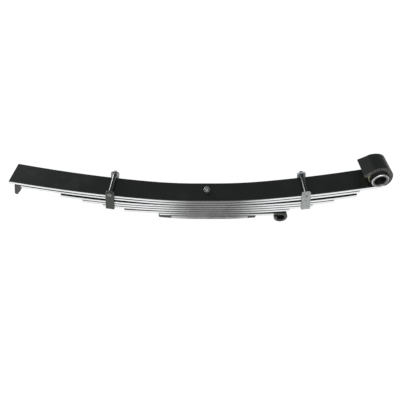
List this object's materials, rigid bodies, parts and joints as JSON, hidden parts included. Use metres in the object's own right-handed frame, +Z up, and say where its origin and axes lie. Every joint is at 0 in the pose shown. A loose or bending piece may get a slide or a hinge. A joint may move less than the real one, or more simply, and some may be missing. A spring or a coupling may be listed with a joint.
{
  "type": "leaf spring",
  "caption": "Multi-leaf suspension spring with a bushed rolled eye, a slipper end, a hook leaf, a small eye on a lower leaf and bolted rebound clips.",
  "frame": {"origin": "on the centre bolt's axis, in the underside of the bottom leaf", "axes": "+X along the leaves towards the main rolled eye, +Y across the leaves' width, +Z up"},
  "size_m": [1.0804, 0.1058, 0.2208],
  "materials": {
    "leaf_paint": "gloss black paint, side edges ground bright",
    "clip_dark": "dark grey satin",
    "clip_light": "dull zinc",
    "tube_paint": "gloss black",
    "bolt_steel": "zinc plated",
    "plated_shell": "yellow plated",
    "bush_rubber": "moulded",
    "sleeve_steel": "turned"
  },
  "bodies": {
    "spring_pack": {"leaf_1_main_eye": "leaf_paint", "leaf_2_hook": "leaf_paint", "leaf_3": "leaf_paint", "leaf_4": "leaf_paint", "leaf_5": "leaf_paint", "leaf_6": "leaf_paint", "leaf_7_small_eye": "leaf_paint", "leaf_8_bottom": "leaf_paint", "centre_bolt": "bolt_steel", "centre_nut": "bolt_steel", "bush_outer_shell": "plated_shell", "bush_rubber": "bush_rubber", "clip_strap_left": "clip_dark", "clip_bolt_left": "bolt_steel", "clip_nut_left": "bolt_steel", "clip_tube_left": "tube_paint", "clip_rivet_left": "bolt_steel", "clip_strap_right": "clip_light", "clip_bolt_right": "bolt_steel", "clip_nut_right": "bolt_steel", "clip_tube_right": "tube_paint", "clip_rivet_right": "bolt_steel"},
    "bush_sleeve": {"bush_inner_sleeve": "sleeve_steel"}
  },
  "joints": [
    {"name": "bush_twist", "type": "hinge", "parent": "spring_pack", "child": "bush_sleeve", "pos_m": [0.47598, 0, 0.17399], "axis": [0, 1, 0], "range_deg": [-12, 12], "stiffness_Nm_per_rad": 40}
  ]
}
